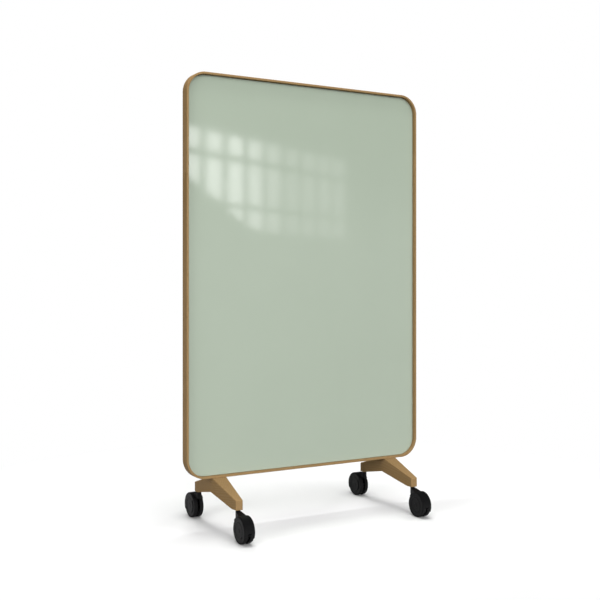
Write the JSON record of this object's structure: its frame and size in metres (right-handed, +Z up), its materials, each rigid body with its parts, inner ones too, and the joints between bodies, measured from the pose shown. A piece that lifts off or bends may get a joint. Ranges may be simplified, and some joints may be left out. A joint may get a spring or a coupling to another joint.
{
  "type": "rolling writing board",
  "caption": "Double-sided sage-green glass writing board in a slim rounded oak frame, on oak wing feet with hooded braked twin-wheel castors.",
  "frame": {"origin": "on the floor, under the middle of the board", "axes": "+Z up, +X to the right as seen from the front, +Y towards the rear"},
  "size_m": [1.1, 0.5786, 1.802],
  "materials": {
    "oak": "solid oak, clear matt lacquer",
    "beech": "bare fluted beech",
    "tinted_glass": "toughened glass, back-painted sage green, opaque",
    "sheet_steel": "galvanised and primed",
    "foam_tape": "closed-cell foam with adhesive",
    "zinc_steel": "bright zinc plated",
    "black_zinc_steel": "black zinc plated",
    "spring_steel": "oiled spring steel",
    "brass": "turned brass",
    "acetal": "black moulded acetal",
    "nylon": "black glass-filled nylon, fine moulded grain",
    "tread": "black soft polyurethane"
  },
  "bodies": {
    "board": {"frame_top_rail": "oak", "frame_bottom_rail": "oak", "frame_left_stile": "oak", "frame_right_stile": "oak", "frame_top_left_corner": "oak", "frame_top_right_corner": "oak", "frame_bottom_left_corner": "oak", "frame_bottom_right_corner": "oak", "corner_dowels": "beech", "front_glass": "tinted_glass", "rear_glass": "tinted_glass", "core_sheet": "sheet_steel", "front_mounting_tape": "foam_tape", "rear_mounting_tape": "foam_tape", "left_foot": "oak", "right_foot": "oak", "left_foot_bracket": "zinc_steel", "right_foot_bracket": "zinc_steel", "foot_bolts": "zinc_steel", "castor_inserts": "brass", "castor_stems": "black_zinc_steel", "castor_washers": "acetal", "castor_snap_rings": "spring_steel"},
    "front_left_swivel": {"front_left_castor_hood": "nylon", "front_left_axle": "zinc_steel", "front_left_brake_pin": "zinc_steel"},
    "front_left_inner_roller": {"front_left_inner_wheel": "nylon", "front_left_inner_tyre": "tread"},
    "front_left_outer_roller": {"front_left_outer_wheel": "nylon", "front_left_outer_tyre": "tread"},
    "front_left_brake": {"front_left_brake_lever": "nylon"},
    "front_right_swivel": {"front_right_castor_hood": "nylon", "front_right_axle": "zinc_steel", "front_right_brake_pin": "zinc_steel"},
    "front_right_inner_roller": {"front_right_inner_wheel": "nylon", "front_right_inner_tyre": "tread"},
    "front_right_outer_roller": {"front_right_outer_wheel": "nylon", "front_right_outer_tyre": "tread"},
    "front_right_brake": {"front_right_brake_lever": "nylon"},
    "rear_left_swivel": {"rear_left_castor_hood": "nylon", "rear_left_axle": "zinc_steel", "rear_left_brake_pin": "zinc_steel"},
    "rear_left_inner_roller": {"rear_left_inner_wheel": "nylon", "rear_left_inner_tyre": "tread"},
    "rear_left_outer_roller": {"rear_left_outer_wheel": "nylon", "rear_left_outer_tyre": "tread"},
    "rear_left_brake": {"rear_left_brake_lever": "nylon"},
    "rear_right_swivel": {"rear_right_castor_hood": "nylon", "rear_right_axle": "zinc_steel", "rear_right_brake_pin": "zinc_steel"},
    "rear_right_inner_roller": {"rear_right_inner_wheel": "nylon", "rear_right_inner_tyre": "tread"},
    "rear_right_outer_roller": {"rear_right_outer_wheel": "nylon", "rear_right_outer_tyre": "tread"},
    "rear_right_brake": {"rear_right_brake_lever": "nylon"}
  },
  "joints": [
    {"name": "front_left_swivel_turn", "type": "hinge", "parent": "board", "child": "front_left_swivel", "pos_m": [-0.409, -0.1833, 0.05], "axis": [0, 0, 1], "continuous": true},
    {"name": "front_left_inner_wheel_roll", "type": "hinge", "parent": "front_left_swivel", "child": "front_left_inner_roller", "pos_m": [-0.409, -0.2323, 0.05], "axis": [1, 0, 0], "continuous": true},
    {"name": "front_left_outer_wheel_roll", "type": "hinge", "parent": "front_left_swivel", "child": "front_left_outer_roller", "pos_m": [-0.409, -0.2323, 0.05], "axis": [1, 0, 0], "continuous": true},
    {"name": "front_left_brake_press", "type": "hinge", "parent": "front_left_swivel", "child": "front_left_brake", "pos_m": [-0.409, -0.2563, 0.044], "axis": [1, 0, 0], "range_deg": [0, 12]},
    {"name": "front_right_swivel_turn", "type": "hinge", "parent": "board", "child": "front_right_swivel", "pos_m": [0.409, -0.1833, 0.05], "axis": [0, 0, 1], "continuous": true},
    {"name": "front_right_inner_wheel_roll", "type": "hinge", "parent": "front_right_swivel", "child": "front_right_inner_roller", "pos_m": [0.409, -0.2323, 0.05], "axis": [1, 0, 0], "continuous": true},
    {"name": "front_right_outer_wheel_roll", "type": "hinge", "parent": "front_right_swivel", "child": "front_right_outer_roller", "pos_m": [0.409, -0.2323, 0.05], "axis": [1, 0, 0], "continuous": true},
    {"name": "front_right_brake_press", "type": "hinge", "parent": "front_right_swivel", "child": "front_right_brake", "pos_m": [0.409, -0.2563, 0.044], "axis": [1, 0, 0], "range_deg": [0, 12]},
    {"name": "rear_left_swivel_turn", "type": "hinge", "parent": "board", "child": "rear_left_swivel", "pos_m": [-0.409, 0.1833, 0.05], "axis": [0, 0, 1], "continuous": true},
    {"name": "rear_left_inner_wheel_roll", "type": "hinge", "parent": "rear_left_swivel", "child": "rear_left_inner_roller", "pos_m": [-0.409, 0.2323, 0.05], "axis": [1, 0, 0], "continuous": true},
    {"name": "rear_left_outer_wheel_roll", "type": "hinge", "parent": "rear_left_swivel", "child": "rear_left_outer_roller", "pos_m": [-0.409, 0.2323, 0.05], "axis": [1, 0, 0], "continuous": true},
    {"name": "rear_left_brake_press", "type": "hinge", "parent": "rear_left_swivel", "child": "rear_left_brake", "pos_m": [-0.409, 0.2563, 0.044], "axis": [-1, 0, 0], "range_deg": [0, 12]},
    {"name": "rear_right_swivel_turn", "type": "hinge", "parent": "board", "child": "rear_right_swivel", "pos_m": [0.409, 0.1833, 0.05], "axis": [0, 0, 1], "continuous": true},
    {"name": "rear_right_inner_wheel_roll", "type": "hinge", "parent": "rear_right_swivel", "child": "rear_right_inner_roller", "pos_m": [0.409, 0.2323, 0.05], "axis": [1, 0, 0], "continuous": true},
    {"name": "rear_right_outer_wheel_roll", "type": "hinge", "parent": "rear_right_swivel", "child": "rear_right_outer_roller", "pos_m": [0.409, 0.2323, 0.05], "axis": [1, 0, 0], "continuous": true},
    {"name": "rear_right_brake_press", "type": "hinge", "parent": "rear_right_swivel", "child": "rear_right_brake", "pos_m": [0.409, 0.2563, 0.044], "axis": [-1, 0, 0], "range_deg": [0, 12]}
  ]
}
